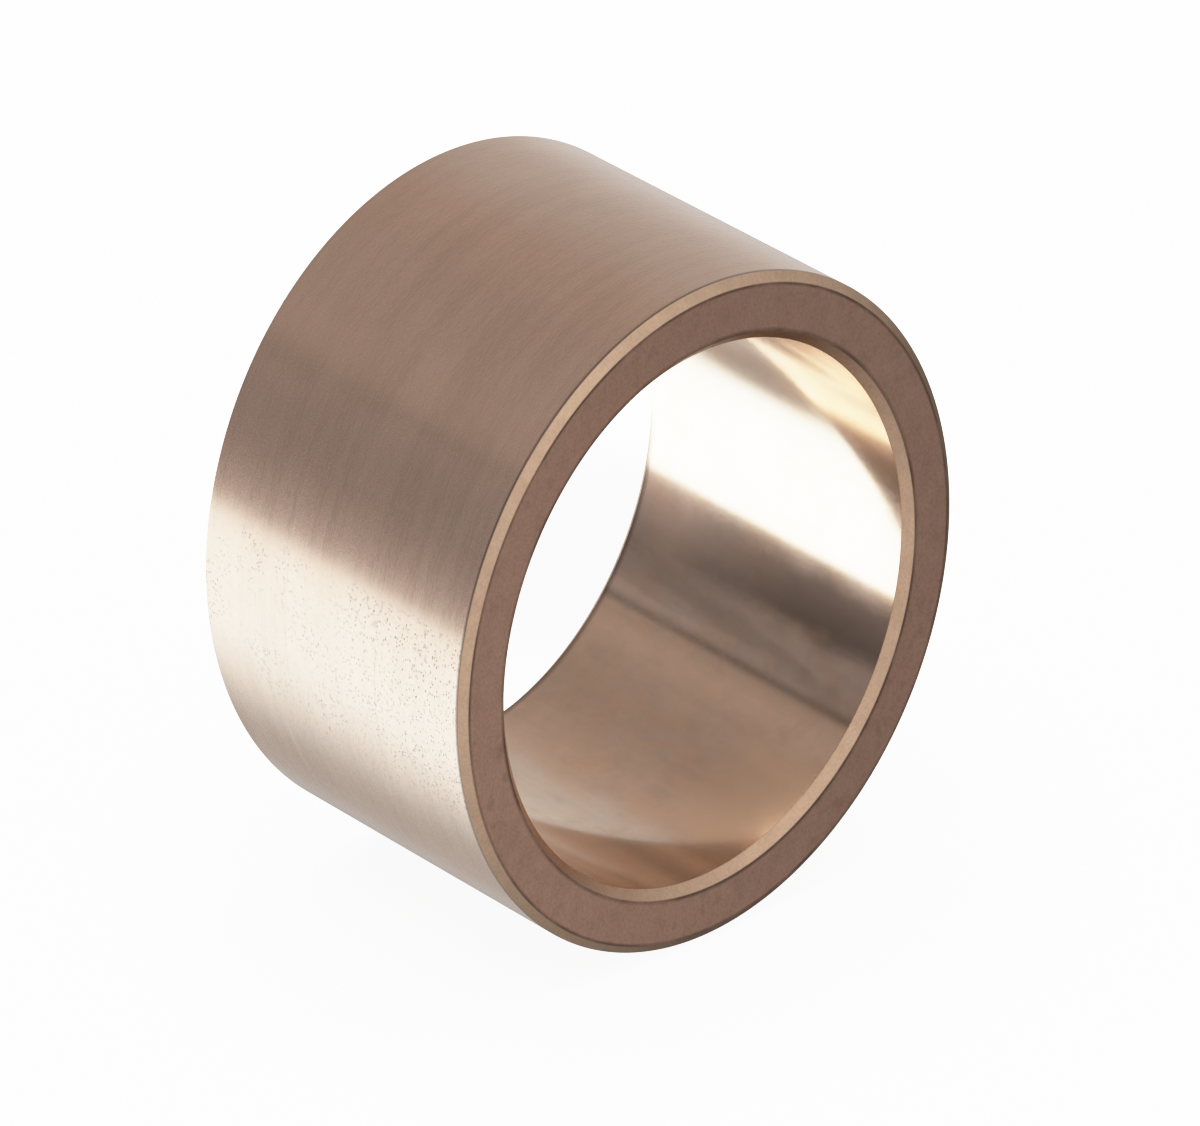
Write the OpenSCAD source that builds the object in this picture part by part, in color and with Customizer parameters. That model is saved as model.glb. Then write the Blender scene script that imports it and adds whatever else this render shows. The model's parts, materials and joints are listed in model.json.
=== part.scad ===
// Plain sleeve bushing: one turned ring of solid bronze.
// The bore runs on a shaft and the outside presses into a housing.
// Origin at the centre of the bore, axis along X, front end face at +X, +Z up, lying on its outside.
// All sizes are in millimetres.

/* [Sleeve] */
// Bore diameter, where the shaft runs
bore_d = 42; // [20:0.5:46]
// Outside diameter, where the housing grips
outer_d = 52; // [49:0.5:80]
// Length from end face to end face
length = 32; // [12:0.5:80]

/* [Outside chamfers] */
// Outside chamfer, measured along the radius
outer_chamfer_radial = 0.7; // [0.4:0.05:1.0]
// Outside chamfer, measured along the axis
outer_chamfer_axial = 0.55; // [0.4:0.05:1.5]

/* [Bore chamfers] */
// Bore chamfer, measured along the radius
bore_chamfer_radial = 0.7; // [0.4:0.05:1.0]
// Bore chamfer, measured along the axis
bore_chamfer_axial = 0.8; // [0.4:0.05:1.5]

/* [Edge breaks] */
// Radius left on the edge between the outside and its chamfer
outer_edge_r = 0.18; // [0.05:0.01:0.2]
// Radius left on the two edges of each end face
face_edge_r = 0.1; // [0.05:0.01:0.2]
// Radius left on the edge between the bore and its chamfer
bore_edge_r = 0.12; // [0.05:0.01:0.2]

/* [Hidden] */
bore_r = bore_d / 2;
outer_r = outer_d / 2;
half_length = length / 2;
bronze = [0.62, 0.47, 0.38];

// Wall section corners at the front end, from the outside in to the bore:
// [radius, axial position, edge radius]
front_corners = [
  [outer_r, half_length - outer_chamfer_axial, outer_edge_r],
  [outer_r - outer_chamfer_radial, half_length, face_edge_r],
  [bore_r + bore_chamfer_radial, half_length, face_edge_r],
  [bore_r, half_length - bore_chamfer_axial, bore_edge_r]
];
// The back end mirrors the front; reversing it keeps the whole loop anticlockwise
back_corners = [for (i = [3:-1:0]) let (c = front_corners[i]) [c.x, -c.y, c.z]];
corners = concat(back_corners, front_corners);
count = len(corners);

function point(i) = let (c = corners[i % count]) [c.x, c.y];
function edge_r(i) = corners[i].z;
function unit(v) = v / norm(v);

// Directions from corner i along its two sides: [to the previous corner, to the next]
function sides(i) = [unit(point(i + count - 1) - point(i)), unit(point(i + 1) - point(i))];
// Half the angle between those sides
function half_angle(i) = let (s = sides(i)) acos(s[0] * s[1]) / 2;

// Points where the edge radius touches the two sides of corner i
function touch_points(i) =
  let (setback = edge_r(i) / tan(half_angle(i)))
  [for (side = sides(i)) point(i) + side * setback];

// Centre of the edge radius at corner i, on the line that halves its angle
function edge_centre(i) =
  let (s = sides(i))
  point(i) + unit(s[0] + s[1]) * edge_r(i) / sin(half_angle(i));

// Section of the wall, x along the radius and y along the axis, with every edge rounded
module wall_section() {
  polygon([for (i = [0:count - 1]) each touch_points(i)]);
  for (i = [0:count - 1])
    translate(edge_centre(i)) circle(r = edge_r(i), $fn = 64);
}

// The whole bushing: the wall section turned about the bore axis
module bushing_sleeve() {
  color(bronze)
    rotate([0, 90, 0])
      rotate_extrude($fn = 360) wall_section();
}

bushing_sleeve();
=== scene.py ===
import json
import math

import bpy
from mathutils import Matrix, Vector


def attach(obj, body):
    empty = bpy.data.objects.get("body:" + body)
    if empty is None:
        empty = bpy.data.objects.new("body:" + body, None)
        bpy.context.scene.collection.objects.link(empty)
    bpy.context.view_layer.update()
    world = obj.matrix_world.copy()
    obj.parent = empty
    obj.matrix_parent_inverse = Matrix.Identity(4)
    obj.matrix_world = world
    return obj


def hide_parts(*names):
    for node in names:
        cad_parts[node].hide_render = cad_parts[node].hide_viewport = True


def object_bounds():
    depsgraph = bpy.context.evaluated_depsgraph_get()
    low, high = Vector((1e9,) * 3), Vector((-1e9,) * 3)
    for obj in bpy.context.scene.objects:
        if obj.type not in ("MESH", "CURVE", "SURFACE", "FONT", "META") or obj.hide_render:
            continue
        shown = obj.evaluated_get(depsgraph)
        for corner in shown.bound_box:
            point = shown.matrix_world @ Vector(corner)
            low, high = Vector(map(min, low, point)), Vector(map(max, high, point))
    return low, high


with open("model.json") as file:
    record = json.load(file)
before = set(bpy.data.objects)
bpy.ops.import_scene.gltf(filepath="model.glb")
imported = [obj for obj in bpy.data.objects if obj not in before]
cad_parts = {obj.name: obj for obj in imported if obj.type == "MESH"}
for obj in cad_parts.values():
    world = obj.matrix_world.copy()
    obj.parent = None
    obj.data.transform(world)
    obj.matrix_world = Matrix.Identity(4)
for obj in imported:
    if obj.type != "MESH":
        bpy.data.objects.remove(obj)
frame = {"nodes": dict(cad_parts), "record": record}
cad_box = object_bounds()
scene = bpy.context.scene
sleeve = frame["nodes"]["bushing_sleeve"]
MM = 0.001
LOW = cad_box[0].z                       # the bushing lies on its outside, so the floor is here
R_OUT = (cad_box[1].y - cad_box[0].y) / 2 / MM      # 26
H_LEN = (cad_box[1].x - cad_box[0].x) / 2 / MM      # 16
R_BORE = 21.0
for m in frame["record"]["mounts"]:
    if m["name"] == "bore":
        R_BORE = m["dims"]["r_mm"]


# ---------------------------------------------------------------- node helpers
class Net:
    """Short calls for building a node tree. A value may be a number, a tuple or an output socket."""

    def __init__(self, tree):
        self.t = tree
        self.x = -3000

    def node(self, kind, **props):
        n = self.t.nodes.new(kind)
        self.x += 40
        n.location = (self.x, 0)
        for k, v in props.items():
            setattr(n, k, v)
        return n

    def put(self, socket, value):
        if isinstance(value, bpy.types.NodeSocket):
            self.t.links.new(value, socket)
        elif value is not None:
            if socket.type == "RGBA" and not hasattr(value, "__len__"):
                value = (value, value, value, 1.0)
            elif socket.type == "RGBA" and len(value) == 3:
                value = (*value, 1.0)
            socket.default_value = value

    def math(self, op, a, b=None, c=None, clamp=False):
        n = self.node("ShaderNodeMath", operation=op, use_clamp=clamp)
        for s, v in zip(n.inputs, (a, b, c)):
            self.put(s, v)
        return n.outputs[0]

    def add(self, a, b): return self.math("ADD", a, b)
    def sub(self, a, b): return self.math("SUBTRACT", a, b)
    def mul(self, a, b): return self.math("MULTIPLY", a, b)
    def div(self, a, b): return self.math("DIVIDE", a, b)
    def mx(self, a, b): return self.math("MAXIMUM", a, b)
    def mn(self, a, b): return self.math("MINIMUM", a, b)
    def inv(self, a): return self.math("SUBTRACT", 1.0, a, clamp=True)

    def step(self, v, lo, hi, to_lo=0.0, to_hi=1.0, kind="SMOOTHSTEP"):
        n = self.node("ShaderNodeMapRange", interpolation_type=kind, clamp=True)
        for s, x in zip(n.inputs, (v, lo, hi, to_lo, to_hi)):
            self.put(s, x)
        return n.outputs[0]

    def vec(self, x, y, z):
        n = self.node("ShaderNodeCombineXYZ")
        for s, v in zip(n.inputs, (x, y, z)):
            self.put(s, v)
        return n.outputs[0]

    def xyz(self, v):
        n = self.node("ShaderNodeSeparateXYZ")
        self.put(n.inputs[0], v)
        return n.outputs

    def vmul(self, v, s):
        n = self.node("ShaderNodeVectorMath", operation="MULTIPLY")
        self.put(n.inputs[0], v)
        self.put(n.inputs[1], s if hasattr(s, "__len__") or isinstance(s, bpy.types.NodeSocket) else (s, s, s))
        return n.outputs[0]

    def vadd(self, v, s):
        n = self.node("ShaderNodeVectorMath", operation="ADD")
        self.put(n.inputs[0], v)
        self.put(n.inputs[1], s)
        return n.outputs[0]

    def noise(self, vec, scale, detail=2.0, rough=0.5, distort=0.0):
        n = self.node("ShaderNodeTexNoise", noise_dimensions="3D")
        self.put(n.inputs["Vector"], vec)
        self.put(n.inputs["Scale"], scale)
        self.put(n.inputs["Detail"], detail)
        self.put(n.inputs["Roughness"], rough)
        self.put(n.inputs["Distortion"], distort)
        return n.outputs["Fac"]

    def voronoi(self, vec, scale, feature="F1", rand=1.0):
        n = self.node("ShaderNodeTexVoronoi", voronoi_dimensions="3D", feature=feature)
        self.put(n.inputs["Vector"], vec)
        self.put(n.inputs["Scale"], scale)
        self.put(n.inputs["Randomness"], rand)
        return n.outputs

    def mix(self, fac, a, b):
        n = self.node("ShaderNodeMix", data_type="RGBA", blend_type="MIX")
        self.put(n.inputs[0], fac)
        self.put(n.inputs[6], a)
        self.put(n.inputs[7], b)
        return n.outputs[2]

    def fmix(self, fac, a, b):
        n = self.node("ShaderNodeMix", data_type="FLOAT")
        self.put(n.inputs[0], fac)
        self.put(n.inputs[2], a)
        self.put(n.inputs[3], b)
        return n.outputs[0]

    def tint(self, color, factor):
        """color times a number"""
        n = self.node("ShaderNodeVectorMath", operation="SCALE")
        self.put(n.inputs[0], color)
        self.put(n.inputs["Scale"], factor)
        return n.outputs[0]

    def ramp(self, fac, stops, mode="LINEAR"):
        n = self.node("ShaderNodeValToRGB")
        cr = n.color_ramp
        cr.interpolation = mode
        while len(cr.elements) < len(stops):
            cr.elements.new(0.5)
        for e, (p, c) in zip(cr.elements, stops):
            e.position = p
            e.color = (*c, 1.0) if hasattr(c, "__len__") else (c, c, c, 1.0)
        self.put(n.inputs[0], fac)
        return n.outputs[0]


# Faint handling marks round the outside: x, drift along x, centre and half-length in degrees, half-width in mm, depth.
# The first three show light, the last three dark.
HAIRLINES = [
    (-9.8, -0.8, 27, 15, 0.38, 0.6), (4.2, 0.5, 145, 24, 0.12, 0.7), (-3.6, -0.4, -116, 18, 0.12, 0.8),
    (-5.5, 0.1, 12, 34, 0.13, 0.8), (5.4, 0.2, -2, 20, 0.14, 0.8), (9.6, -0.2, -150, 24, 0.12, 0.7),
]


# ---------------------------------------------------------------- bronze
def bronze_material():
    mat = bpy.data.materials.new("sleeve_bronze")
    mat.use_nodes = True
    mat.node_tree.nodes.clear()
    g = Net(mat.node_tree)
    out = g.node("ShaderNodeOutputMaterial")
    bsdf = g.node("ShaderNodeBsdfPrincipled")
    mat.node_tree.links.new(bsdf.outputs[0], out.inputs[0])
    pos = g.vmul(g.node("ShaderNodeTexCoord").outputs["Object"], 1 / MM)   # millimetres
    px, py, pz = g.xyz(pos)
    r = g.math("SQRT", g.add(g.mul(py, py), g.mul(pz, pz)))
    d_end = g.sub(H_LEN, g.math("ABSOLUTE", px))     # distance in from the nearer end face
    d_out = g.sub(R_OUT, r)                          # depth below the outside
    d_in = g.sub(r, R_BORE)                          # depth below the bore

    # which surface this point is on: each mask is 0 to 1 with a soft edge of a few hundredths of a millimetre
    outer_half = g.step(g.sub(d_in, d_out), -0.1, 0.1)
    is_od = g.mul(outer_half, g.step(d_end, 0.50, 0.62))
    is_bore = g.mul(g.inv(outer_half), g.step(d_end, 0.76, 0.86))
    is_face = g.mul(g.mul(g.step(d_out, 0.64, 0.74), g.step(d_in, 0.64, 0.74)), g.step(d_end, 0.06, 0.02))
    is_cham_o = g.mul(g.mul(outer_half, g.inv(is_od)), g.inv(is_face))
    is_cham_i = g.mul(g.mul(g.inv(outer_half), g.inv(is_bore)), g.inv(is_face))

    # --- fields shared by the surfaces
    ring = g.vmul(pos, (1.0, 0.035, 0.035))          # stretched round the axis: turning marks
    ring_fine = g.noise(ring, 9.0, 3.0, 0.65)
    ring_wide = g.noise(ring, 0.9, 2.0, 0.5)
    brushed = g.noise(g.vmul(pos, (1.0, 0.14, 0.14)), 7.0, 3.0, 0.6)   # short circumferential strokes
    dither = g.step(g.noise(pos, 24.0, 1.0), 0.50, 0.56)               # finer than the eye: gives the satin its haze
    along = g.noise(g.vmul(pos, (0.10, 1.0, 1.0)), 1.1, 3.0, 0.55)     # drawn out along the axis
    mottle = g.noise(pos, 0.16, 3.0, 0.55)
    mottle2 = g.noise(g.vadd(pos, (31.0, 7.0, 13.0)), 0.45, 4.0, 0.6)
    grain = g.noise(pos, 4.2, 3.0, 0.7)
    grain_fine = g.noise(g.vadd(pos, (5.0, 3.0, 1.0)), 11.0, 2.0, 0.6)
    cell = g.voronoi(pos, 3.6)
    pits = g.mul(g.step(cell[0], 0.44, 0.20), g.step(g.xyz(cell[1])[0], 0.30, 0.62))
    pits = g.mul(pits, g.step(g.add(g.noise(pos, 0.22, 3.0), g.mul(px, 0.006)), 0.34, 0.60, 0.55, 1.0))
    speck = g.step(g.noise(g.vadd(pos, (17.0, 9.0, 4.0)), 2.3, 2.0, 0.6), 0.49, 0.68)
    speck = g.mul(speck, g.step(g.add(g.noise(pos, 0.20, 3.0), g.mul(px, 0.008)), 0.36, 0.60, 0.25, 1.0))
    oil_and_shade_noise = g.noise(g.vadd(pos, (11.0, 2.0, 27.0)), 0.13, 3.0, 0.6)      # random field: breaks up the dirt on the end faces and the painted shade beside the chamfers
    grime = g.step(g.noise(pos, 0.8, 2.0, 0.5), 0.52, 0.72)
    # a few hairline handling marks round the outside, each only part of the way round
    hair = g.step(g.noise(g.vmul(pos, (1.0, 0.012, 0.012)), 2.3, 2.0, 0.75), 0.705, 0.735)
    hair = g.mul(hair, g.step(g.noise(g.vmul(pos, (0.3, 1.0, 1.0)), 0.11, 1.0), 0.45, 0.55))
    # hairline marks at set places: (x in mm, drift in mm, centre and half-width in degrees round the axis, depth)
    around = g.math("MULTIPLY", g.math("ARCTAN2", pz, g.mul(py, -1.0)), 180 / math.pi)
    marks = []
    for x0, drift, mid, half, width, depth in HAIRLINES:
        u = g.div(g.sub(around, mid), half)                            # -1 to 1 along the mark
        line = g.math("ABSOLUTE", g.sub(g.sub(px, x0), g.mul(u, drift)))
        line = g.add(line, g.mul(g.sub(g.noise(pos, 1.3, 2.0), 0.5), 0.28))
        marks.append(g.mul(g.mul(g.step(line, width, width * 0.2), g.step(g.math("ABSOLUTE", u), 1.0, 0.5)), g.mul(g.step(grain, 0.3, 0.6, 0.35, 1.0), depth)))
    bright_marks = g.mul(g.mx(g.mx(marks[0], marks[1]), marks[2]), is_od)
    dark_marks = g.mul(g.mx(g.mx(marks[3], marks[4]), marks[5]), is_od)
    stain = g.step(g.noise(g.vmul(g.vadd(pos, (3.0, 17.0, 5.0)), (0.8, 1.0, 1.0)), 0.22, 4.0, 0.62, 0.8), 0.45, 0.66)

    # --- colour of each surface
    od_col = g.mix(g.step(mottle, 0.38, 0.64), (0.578, 0.411, 0.318), (0.605, 0.435, 0.34))
    od_col = g.mix(g.mul(g.step(mottle2, 0.50, 0.72), 0.4), od_col, (0.61, 0.41, 0.32))
    od_col = g.tint(od_col, g.step(brushed, 0.30, 0.70, 0.97, 1.03))
    pitted = g.mul(g.step(around, 17.0, 11.0), g.step(around, -32.0, -16.0))      # the speckled patch on the -Y side
    pits, speck = g.mul(pits, g.fmix(pitted, 0.15, 1.0)), g.mul(speck, g.fmix(pitted, 0.08, 1.0))
    od_col = g.tint(od_col, 0.905)
    od_col = g.mix(g.mx(g.mul(pits, 0.90), g.mul(speck, 0.34)), od_col, (0.36, 0.33, 0.295))
    # painted shade: the outside darker and cooler along its top
    painted_top_shade = g.mul(g.step(around, 50.0, 80.0), g.step(around, 118.0, 104.0))
    od_col = g.mix(painted_top_shade, od_col, g.vmul(od_col, (0.95, 0.915, 0.88)))
    od_col = g.tint(od_col, g.step(ring_wide, 0.30, 0.70, 0.965, 1.035))
    od_col = g.tint(od_col, g.add(1.0, g.mul(g.mx(hair, bright_marks), 0.07)))
    od_col = g.tint(od_col, g.sub(1.0, g.mul(dark_marks, 0.10)))
    od_col = g.tint(od_col, g.sub(1.0, g.mul(g.step(d_end, 0.86, 0.70, 0.0, 0.66), g.step(px, -4.0, 4.0))))      # a fine painted dark line (painted shade) beside the front outside chamfer
    bore_col = g.mix(g.step(mottle2, 0.36, 0.66), (0.79, 0.62, 0.50), (0.83, 0.65, 0.515))
    bore_col = g.mix(g.mul(stain, 0.50), bore_col, (0.84, 0.60, 0.42))
    smudge = g.step(g.noise(g.vmul(g.vadd(pos, (40.0, 3.0, 9.0)), (0.7, 1.0, 1.0)), 0.42, 3.0, 0.55, 0.2), 0.48, 0.72)
    bore_col = g.tint(bore_col, g.sub(1.01, g.mul(smudge, 0.07)))
    bore_col = g.tint(bore_col, g.step(along, 0.30, 0.70, 0.985, 1.015))
    # painted reflections in the bore on the +Y side: dark bands, heavier towards the front, a slanted dark line, and
    # lighter bands beside them
    wander = g.add(around, g.add(g.mul(g.sub(mottle, 0.5), 6.0), g.mul(g.sub(along, 0.5), 2.5)))
    band = g.mul(g.step(wander, -168.2, -160.8), g.step(wander, -148.5, -154.5))
    painted_dark_bands = g.mul(band, g.step(px, -10.0, 8.0, 0.36, 0.63))
    painted_dark_bands = g.add(painted_dark_bands, g.mul(g.step(g.math("ABSOLUTE", g.sub(wander, g.add(g.mul(px, 0.28), -145.5))), 3.2, 0.6), 0.13))
    painted_light_bands = g.mul(band, g.step(px, -5.0, -11.0, 0.0, 0.20))
    painted_light_bands = g.add(painted_light_bands, g.mul(g.mul(g.step(wander, -152.0, -149.5), g.step(wander, -144.0, -147.0)), g.step(px, -2.0, 7.0, 0.0, 0.12)))
    painted_light_bands = g.add(painted_light_bands, g.mul(g.mul(g.step(wander, -144.0, -141.5), g.step(wander, -136.0, -138.5)), g.step(px, 3.0, -12.0, 0.0, 0.20)))
    bore_col = g.tint(bore_col, g.add(g.sub(1.0, painted_dark_bands), painted_light_bands))
    # painted reflection: a warm tint on the bore's upper +Y side towards the front, where the bore mirrors itself twice
    painted_warm_reflection = g.mul(g.mul(g.step(around, 124.0, 136.0), g.step(around, 164.0, 156.0)), g.step(px, 2.0, 9.0))
    bore_col = g.mix(painted_warm_reflection, bore_col, (0.77, 0.56, 0.385))
    gold = g.mul(g.mul(g.step(wander, -131.0, -122.0), g.step(wander, -92.0, -104.0)), g.step(px, 3.0, 12.0, 0.0, 0.85))
    bore_col = g.mix(gold, bore_col, (0.98, 0.73, 0.53))
    # painted shade: the far rim of the bore darkened along its lower half
    bore_col = g.tint(bore_col, g.sub(1.0, g.mul(g.step(g.add(px, H_LEN), 1.5, 0.9, 0.0, 0.5), g.step(pz, 2.0, -5.0))))
    face_col = g.mix(g.step(mottle2, 0.30, 0.70), (0.525, 0.338, 0.266), (0.57, 0.372, 0.293))
    face_col = g.mix(g.mul(g.step(mottle, 0.42, 0.62), 0.5), face_col, (0.555, 0.346, 0.277))
    face_col = g.tint(face_col, g.step(grain, 0.28, 0.66, 0.88, 1.09))
    face_col = g.tint(face_col, g.sub(1.0, g.mul(g.mul(grime, g.step(oil_and_shade_noise, 0.42, 0.62, 0.3, 1.0)), 0.14)))
    # painted shade: thin dark lines on the end faces beside both chamfers, broken up by noise
    painted_shade_in = g.mul(g.step(d_in, 1.10, 0.78), g.step(oil_and_shade_noise, 0.40, 0.60, 0.30, 0.62))
    painted_shade_out = g.mul(g.step(d_out, 1.02, 0.78), g.step(oil_and_shade_noise, 0.62, 0.42, 0.30, 0.60))
    face_col = g.tint(face_col, g.mul(g.sub(1.0, painted_shade_in), g.sub(1.0, painted_shade_out)))
    # painted light: the end faces lighter towards -Y and downwards, as the studio light falls
    face_col = g.tint(face_col, g.step(g.add(g.mul(py, 0.9), g.mul(pz, 0.25)), 12.0, -24.0, 1.0, 1.26))
    cham_col = g.mix(g.step(mottle2, 0.35, 0.65), (0.78, 0.560, 0.415), (0.85, 0.612, 0.455))
    cham_col = g.tint(cham_col, g.step(grain, 0.30, 0.68, 0.90, 1.05))
    cham_in = g.tint(cham_col, g.step(g.math("ABSOLUTE", g.sub(around, 84.0)), 20.0, 52.0, 0.55, 1.0))   # darker along the top

    col = g.mix(is_od, face_col, od_col)
    col = g.mix(is_bore, col, bore_col)
    col = g.mix(is_cham_o, col, cham_col)
    col = g.mix(is_cham_i, col, cham_in)

    # --- how much of each surface is bare metal; the rest is a thin dull film
    metal = g.fmix(is_od, 0.90, 0.76)
    metal = g.fmix(is_bore, metal, 1.0)
    metal = g.fmix(g.mx(is_cham_o, is_cham_i), metal, 0.97)

    # --- roughness
    od_rough = g.add(g.fmix(dither, 0.19, 0.28), g.add(g.mul(g.sub(ring_wide, 0.5), 0.05), g.mul(g.sub(brushed, 0.5), 0.08)))
    od_rough = g.mx(od_rough, g.mx(g.mul(pits, 0.62), g.mul(speck, 0.42)))
    od_rough = g.mx(od_rough, g.mul(g.mx(hair, g.mx(bright_marks, dark_marks)), 0.40))
    bore_rough = g.add(g.fmix(g.mul(dither, 0.5), 0.10, 0.28), g.mul(smudge, 0.03))
    face_rough = g.step(grain, 0.25, 0.75, 0.44, 0.56)
    rough = g.fmix(is_od, face_rough, od_rough)
    rough = g.fmix(is_bore, rough, bore_rough)
    rough = g.fmix(is_cham_o, rough, 0.34)
    rough = g.fmix(is_cham_i, rough, 0.40)

    # --- bump, in millimetres of height
    h_od = g.add(g.add(g.mul(ring_fine, 0.0004), g.mul(brushed, 0.0003)), g.add(g.mul(grain, 0.0003), g.mul(pits, -0.0015)))
    h_od = g.sub(h_od, g.mul(hair, 0.001))
    h_bore = g.add(g.add(g.mul(ring_fine, 0.0003), g.mul(along, 0.0007)), g.mul(mottle2, 0.0006))
    h_face = g.add(g.mul(grain, 0.006), g.mul(grain_fine, 0.003))
    h = g.fmix(is_od, h_face, h_od)
    h = g.fmix(is_bore, h, h_bore)
    h = g.fmix(g.mx(is_cham_o, is_cham_i), h, g.mul(grain, 0.004))
    bump = g.node("ShaderNodeBump")
    bump.inputs["Strength"].default_value = 1.0
    bump.inputs["Distance"].default_value = MM
    g.put(bump.inputs["Height"], h)

    g.put(bsdf.inputs["Base Color"], col)
    g.put(bsdf.inputs["Metallic"], metal)
    g.put(bsdf.inputs["Roughness"], rough)
    g.put(bsdf.inputs["Normal"], bump.outputs[0])
    # a trace of oil on the outside: a soft haze over the satin
    g.put(bsdf.inputs["Coat Weight"], g.mul(is_od, 0.6))
    g.put(bsdf.inputs["Coat Roughness"], 0.5)
    return mat


# ---------------------------------------------------------------- the sleeve itself
# The CAD ring's own section, turned in fine steps of even quads, so that reflections inside the bore run smooth.
CHAM_OUT = (0.55, 0.70)                           # along the axis, along the radius
CHAM_IN = (0.80, 0.70)
EDGE_OUT, EDGE_FACE, EDGE_IN = 0.18, 0.10, 0.12   # small radii left on the edges
TURNS = 540


def half_section():
    """Corners of the section from the middle of the outside, over the +X end, to the middle of the bore: (x, r, edge radius)."""
    return [
        (H_LEN - CHAM_OUT[0], R_OUT, EDGE_OUT), (H_LEN, R_OUT - CHAM_OUT[1], EDGE_FACE),
        (H_LEN, R_BORE + CHAM_IN[1], EDGE_FACE), (H_LEN - CHAM_IN[0], R_BORE, EDGE_IN),
    ]


def section():
    """Closed list of (point, normal), in (x, r), following the section round once."""
    front = half_section()
    corners = [(Vector((x, r)), e) for x, r, e in front] + [(Vector((-x, r)), e) for x, r, e in reversed(front)]
    n = len(corners)
    pts = []

    def straight(a, b, normal, fine):
        """Points strictly between a and b, closer together near both ends."""
        span = (b - a).length
        ts = [t for t in (fine / span, 3 * fine / span) if t < 0.4]
        inner = max(1, round(span * (1 - 2 * ts[-1]) / 1.4)) if ts else 1
        row = ts + [ts[-1] + (1 - 2 * ts[-1]) * k / inner for k in range(1, inner)] + [1 - t for t in reversed(ts)] if ts else []
        for t in row:
            pts.append((a.lerp(b, t), normal))

    touch = []
    for i, (c, e) in enumerate(corners):
        a = (corners[i - 1][0] - c).normalized()
        b = (corners[(i + 1) % n][0] - c).normalized()
        half = a.angle(b) / 2
        d = e / math.tan(half)
        centre = c + (a + b).normalized() * (e / math.sin(half))
        touch.append((c + a * d, c + b * d, centre))
    for i, (c, e) in enumerate(corners):
        p0, p1, centre = touch[i]
        n0, n1 = (p0 - centre).normalized(), (p1 - centre).normalized()
        sweep = n0.angle(n1)
        steps = 6
        for k in range(steps + 1):
            t = k / steps
            nn = (n0 * math.sin((1 - t) * sweep) + n1 * math.sin(t * sweep)) / math.sin(sweep)
            pts.append((centre + nn * e, nn))
        nxt = touch[(i + 1) % n][0]
        straight(p1, nxt, n1, 0.06)
    return pts


def lathe(name):
    prof = section()
    m = len(prof)
    verts, normals, faces = [], [], []
    for j in range(TURNS):
        a = 2 * math.pi * j / TURNS
        c, s_ = math.cos(a), math.sin(a)
        for p, nn in prof:
            verts.append((p.x * MM, p.y * MM * c, p.y * MM * s_))
            normals.append((nn.x, nn.y * c, nn.y * s_))
    for j in range(TURNS):
        k = (j + 1) % TURNS
        for i in range(m):
            i2 = (i + 1) % m
            faces.append((j * m + i, j * m + i2, k * m + i2, k * m + i))
    mesh = bpy.data.meshes.new(name)
    mesh.from_pydata(verts, [], faces)
    mesh.update()
    if sum(Vector(normals[v]).dot(mesh.polygons[0].normal) for v in mesh.polygons[0].vertices) < 0:
        mesh.flip_normals()
    mesh.polygons.foreach_set("use_smooth", [True] * len(mesh.polygons))
    mesh.normals_split_custom_set_from_vertices(normals)
    mesh.update()
    o = bpy.data.objects.new(name, mesh)
    scene.collection.objects.link(o)
    return o


ring = lathe("sleeve_turned")
ring.data.materials.append(bronze_material())
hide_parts("bushing_sleeve")
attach(ring, "root")

# ---------------------------------------------------------------- floor
FLOOR_R = 0.52
PALE = 1.95                                       # the floor and the backdrop, as the camera sees them: just short of clipping
me = bpy.data.meshes.new("floor")
n = 128
verts = [(0, 0, LOW)] + [(FLOOR_R * math.cos(2 * math.pi * i / n), FLOOR_R * math.sin(2 * math.pi * i / n), LOW) for i in range(n)]
me.from_pydata(verts, [], [(0, 1 + i, 1 + (i + 1) % n) for i in range(n)])
floor = bpy.data.objects.new("floor", me)
scene.collection.objects.link(floor)
fm = bpy.data.materials.new("floor_white")
fm.use_nodes = True
fm.node_tree.nodes.clear()
g = Net(fm.node_tree)
out = g.node("ShaderNodeOutputMaterial")
pos = g.vmul(g.node("ShaderNodeTexCoord").outputs["Object"], 1 / MM)
fx, fy, fz = g.xyz(pos)
# seen by the camera: pale, with a soft shadow near the bushing that fades into the backdrop's own tone
near = g.step(g.math("SQRT", g.add(g.mul(fx, fx), g.mul(fy, fy))), 260.0, 90.0)
dif = g.node("ShaderNodeBsdfDiffuse")
g.put(dif.inputs["Color"], 0.62)
glow = g.node("ShaderNodeEmission")
bx, by = g.div(g.add(fx, 41.0), 24.0), g.div(g.sub(fy, 36.0), 24.0)
shaded = g.step(g.math("SQRT", g.add(g.mul(bx, bx), g.mul(by, by))), 1.0, 0.45)   # soft shade on the table behind the bushing
g.put(glow.inputs["Color"], g.mix(shaded, (1.0, 1.0, 1.0), (0.985, 0.985, 1.02)))
g.put(glow.inputs["Strength"], g.mul(g.fmix(near, PALE, 1.36), g.step(shaded, 0.0, 1.0, 1.0, 0.66)))
flat = g.node("ShaderNodeEmission")
g.put(flat.inputs["Color"], (PALE, PALE, PALE))
both = g.node("ShaderNodeAddShader")
g.t.links.new(dif.outputs[0], both.inputs[0])
g.t.links.new(glow.outputs[0], both.inputs[1])
seen = g.node("ShaderNodeMixShader")
g.put(seen.inputs[0], near)
g.t.links.new(flat.outputs[0], seen.inputs[1])
g.t.links.new(both.outputs[0], seen.inputs[2])
g.t.links.new(seen.outputs[0], out.inputs[0])
me.materials.append(fm)
floor.visible_glossy = False                       # the bronze mirrors the studio below, which has its own white table
floor.visible_diffuse = False

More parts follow.
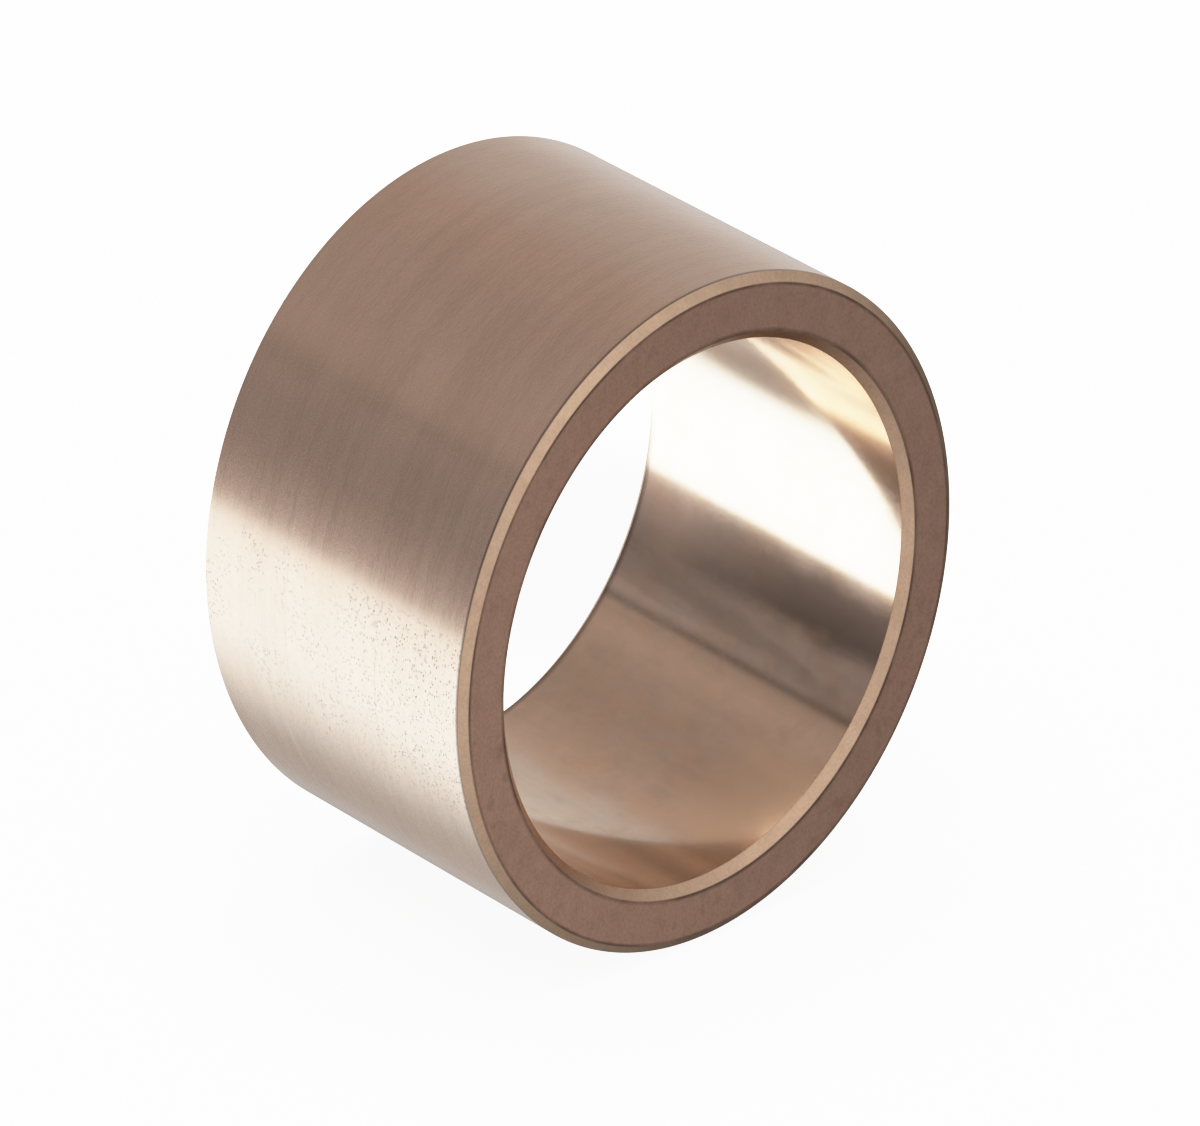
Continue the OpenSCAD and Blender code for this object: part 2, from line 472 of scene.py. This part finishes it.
# the bushing's own shadow on the table just behind its far end, which only the bore mirrors
me = bpy.data.meshes.new("near_shadow")
me.from_pydata([(-60, -20, 0), (0, -20, 0), (0, 40, 0), (-60, 40, 0)], [], [(0, 1, 2, 3)])
me.transform(Matrix.Scale(MM, 4))
me.transform(Matrix.Translation((0, 0, LOW + 0.0002)))
shade = bpy.data.objects.new("near_shadow", me)
scene.collection.objects.link(shade)
sm = bpy.data.materials.new("table_shadow")
sm.use_nodes = True
sm.node_tree.nodes.clear()
g = Net(sm.node_tree)
out = g.node("ShaderNodeOutputMaterial")
sx, sy, sz = g.xyz(g.vmul(g.node("ShaderNodeTexCoord").outputs["Object"], 1 / MM))
ex, ey = g.div(g.add(sx, 31.0), 19.0), g.div(g.sub(sy, 13.0), 8.5)
cover = g.step(g.math("SQRT", g.add(g.mul(ex, ex), g.mul(ey, ey))), 1.0, 0.35)
dim = g.node("ShaderNodeEmission")
g.put(dim.inputs["Color"], (1.0, 0.94, 0.90))
g.put(dim.inputs["Strength"], 0.47)
clear = g.node("ShaderNodeBsdfTransparent")
blend = g.node("ShaderNodeMixShader")
g.put(blend.inputs[0], cover)
g.t.links.new(clear.outputs[0], blend.inputs[1])
g.t.links.new(dim.outputs[0], blend.inputs[2])
g.t.links.new(blend.outputs[0], out.inputs[0])
me.materials.append(sm)
shade.visible_camera = False
shade.visible_diffuse = False
shade.visible_shadow = False


# ---------------------------------------------------------------- light
def sun(name, strength, angle, direction, color=(1, 1, 1), glossy=False):
    l = bpy.data.lights.new(name, "SUN")
    l.energy, l.angle, l.color = strength, math.radians(angle), color
    o = bpy.data.objects.new(name, l)
    scene.collection.objects.link(o)
    o.rotation_mode = "QUATERNION"
    o.rotation_quaternion = Vector(direction).to_track_quat("-Z", "Y")
    o.visible_glossy = glossy
    return o


sun("overhead_soft", 1.7, 62, (0.10, 0.06, -1.0))

world = bpy.data.worlds.new("studio")
scene.world = world
world.use_nodes = True
world.node_tree.nodes.clear()
g = Net(world.node_tree)
wout = g.node("ShaderNodeOutputWorld")
tc = g.node("ShaderNodeTexCoord")
dx, dy, dz = g.xyz(tc.outputs["Generated"])
# angle round the bushing's axis: 0 at -Y, 90 overhead, 180 at +Y, -90 straight down
turn = g.math("MULTIPLY", g.math("ARCTAN2", dz, g.mul(dy, -1.0)), 180 / math.pi)
share = g.div(g.add(turn, 180.0), 360.0)
TOP = 3.0                                          # the ramps hold radiance over this


def studio(stops):
    """A ramp round the axis. One colour ramp holds 32 stops, so a longer list is cut in two at a shared stop."""
    row = [((d + 180.0) / 360.0, tuple(v * c / TOP for c in t)) for d, v, t in stops]
    if len(row) <= 32:
        return g.ramp(share, row)
    cut = len(row) // 2
    return g.mix(g.math("GREATER_THAN", share, row[cut][0]), g.ramp(share, row[:cut + 1]), g.ramp(share, row[cut:]))


W, N, S, C, P = (1.0, 0.83, 0.745), (1.0, 0.985, 0.97), (1.0, 0.95, 0.89), (1.0, 1.10, 1.12), (1.0, 0.89, 0.89)
# behind the bushing's far end: a white table to the left, a dim room above it, a warm wall and ceiling
far = studio([
    (-180, 0.83, N), (-160, 0.85, N), (-147, 0.50, N), (-135, 0.44, N), (-124, 0.73, N), (-112, 0.69, S), (-98, 0.64, S), (-88, 0.74, N),
    (-77, 1.18, C), (-70, 1.62, C), (-62, 2.25, C), (-54, 2.85, C), (-46, 3.0, C), (-9.6, 3.0, C), (-7.9, 0.60, S),
    (-2, 0.60, P), (5, 0.46, P), (12, 0.35, P), (20, 0.245, P), (33, 0.24, P), (43, 0.32, P), (45.0, 0.10, P), (46.6, 0.10, P), (48.2, 0.37, W),
    (58, 0.43, W), (68, 0.375, W), (82, 0.34, W), (97, 0.355, W), (108, 0.41, W), (124, 0.475, W), (140, 0.57, N), (155, 0.63, N),
    (170, 0.73, N), (180, 0.83, N),
])
# on the viewer's side: an even, softly lit room, brightest overhead
near_side = studio([
    (-180, 0.35, S), (-168, 0.24, S), (-144, 0.18, S), (-128, 0.15, S), (-107, 0.26, S), (-90, 0.34, S), (-78, 0.42, S), (-58, 0.52, S),
    (-40, 0.68, S), (-30, 0.67, S), (0, 0.62, S), (21, 0.62, S), (50, 0.70, S), (81, 0.82, S), (92, 0.81, S), (129, 0.62, S),
    (137, 0.55, S), (150, 0.49, S), (167, 0.42, S), (180, 0.35, S),
])
env = g.mix(g.step(dx, -0.62, -0.42), far, near_side)
# a dark corner of the room low on the right, mirrored in the outside chamfer's right-hand side
corner = g.mul(g.step(dx, 0.42, 0.20), g.mul(g.step(dx, -0.64, -0.56), g.step(turn, -112.0, -128.0)))
env = g.mix(g.mul(corner, 0.55), env, (0.012, 0.010, 0.008))
# a soft lamp low behind the camera, which the end face mirrors
lamp = g.mul(g.step(dx, 0.36, 0.58), g.step(g.math("ABSOLUTE", g.add(turn, 144.0)), 62.0, 30.0))
env = g.tint(env, g.add(1.0, g.mul(lamp, 0.86)))
bg = g.node("ShaderNodeBackground")
cam_bg = g.node("ShaderNodeBackground")
g.put(bg.inputs[0], env)
g.put(bg.inputs[1], TOP)
g.put(cam_bg.inputs[0], (PALE, PALE, PALE))
g.put(cam_bg.inputs[1], 1.0)
lp = g.node("ShaderNodeLightPath")
ms = g.node("ShaderNodeMixShader")
g.put(ms.inputs[0], lp.outputs["Is Camera Ray"])
g.t.links.new(bg.outputs[0], ms.inputs[1])
g.t.links.new(cam_bg.outputs[0], ms.inputs[2])
g.t.links.new(ms.outputs[0], wout.inputs[0])
world.cycles.sampling_method = "MANUAL"
world.cycles.sample_map_resolution = 1024

# ---------------------------------------------------------------- camera
# A view camera: it is level-sided and tipped down, with its film shifted, so the bushing sits below the lens axis.
CAM_POS = (0.54206545, -0.47037776, 0.34065000)
cam = bpy.data.cameras.new("camera")
cam.sensor_fit = "HORIZONTAL"
cam.sensor_width = 36.0
cam.lens = 269.4497
cam.clip_start, cam.clip_end = 0.05, 20.0
co = bpy.data.objects.new("camera", cam)
scene.collection.objects.link(co)
co.location = CAM_POS
co.rotation_euler = (math.radians(90 - 50.570159), 0.0, math.radians(49.208946))
scene.camera = co
SHIFT = (0.0378468, 3.5072089)
cam.shift_x, cam.shift_y = SHIFT
for i, name in enumerate(("shift_x", "shift_y")):    # the film shift belongs to this camera position only
    d = cam.driver_add(name).driver
    d.type = "SCRIPTED"
    v = d.variables.new()
    v.name = "cx"
    v.type = "TRANSFORMS"
    v.targets[0].id = co
    v.targets[0].transform_type = "LOC_X"
    v.targets[0].transform_space = "WORLD_SPACE"
    d.expression = f"{SHIFT[i]} if abs(cx - {CAM_POS[0]}) < 0.0001 else 0.0"

# ---------------------------------------------------------------- picture settings
scene.view_settings.view_transform = "Standard"
scene.view_settings.look = "None"
# a film-like shoulder: true tones up to middle grey, highlights that roll off towards white
scene.view_settings.use_curve_mapping = True
tone = scene.view_settings.curve_mapping
tone.use_clip = True
tone.clip_max_x = 3.0
curve = tone.curves[3]
curve.points[0].location = (0.0, 0.0)
curve.points[1].location = (3.0, 1.0)
for px_, py_ in ((0.30, 0.30), (0.55, 0.55), (0.75, 0.715), (1.0, 0.85), (1.35, 0.935), (1.9, 0.98)):
    curve.points.new(px_, py_)
for pt in curve.points:
    pt.handle_type = "AUTO_CLAMPED"
tone.update()
scene.cycles.max_bounces = 10
scene.cycles.glossy_bounces = 8
scene.cycles.diffuse_bounces = 3
scene.cycles.caustics_reflective = False
scene.cycles.caustics_refractive = False
scene.cycles.sample_clamp_indirect = 6.0
scene.cycles.use_denoising = True
